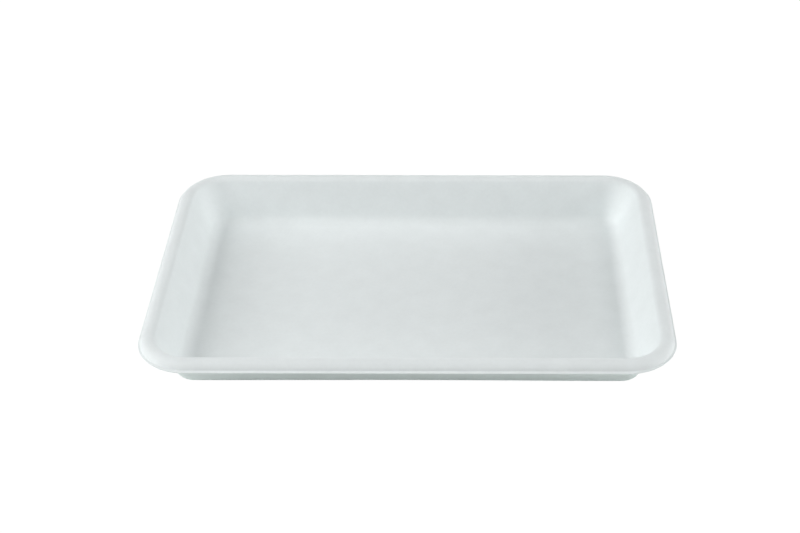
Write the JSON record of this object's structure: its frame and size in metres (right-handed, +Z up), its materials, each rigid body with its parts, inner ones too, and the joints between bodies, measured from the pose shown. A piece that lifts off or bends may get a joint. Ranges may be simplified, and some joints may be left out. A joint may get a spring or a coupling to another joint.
{
  "type": "moulded pulp food tray",
  "caption": "Shallow rectangular food tray in white moulded pulp, with rounded corners, leaning walls, a flat floor and a raised bead rim ending in a narrow lip that slopes down outwards.",
  "frame": {"origin": "centre of the underside, on the surface that the tray stands on", "axes": "+X along the tray, +Y across it, +Z up out of the tray"},
  "size_m": [0.21, 0.146, 0.019],
  "materials": {
    "pulp": "white moulded pulp, matte with a fine fibre grain"
  },
  "bodies": {
    "root": {"tray": "pulp"}
  },
  "joints": []
}
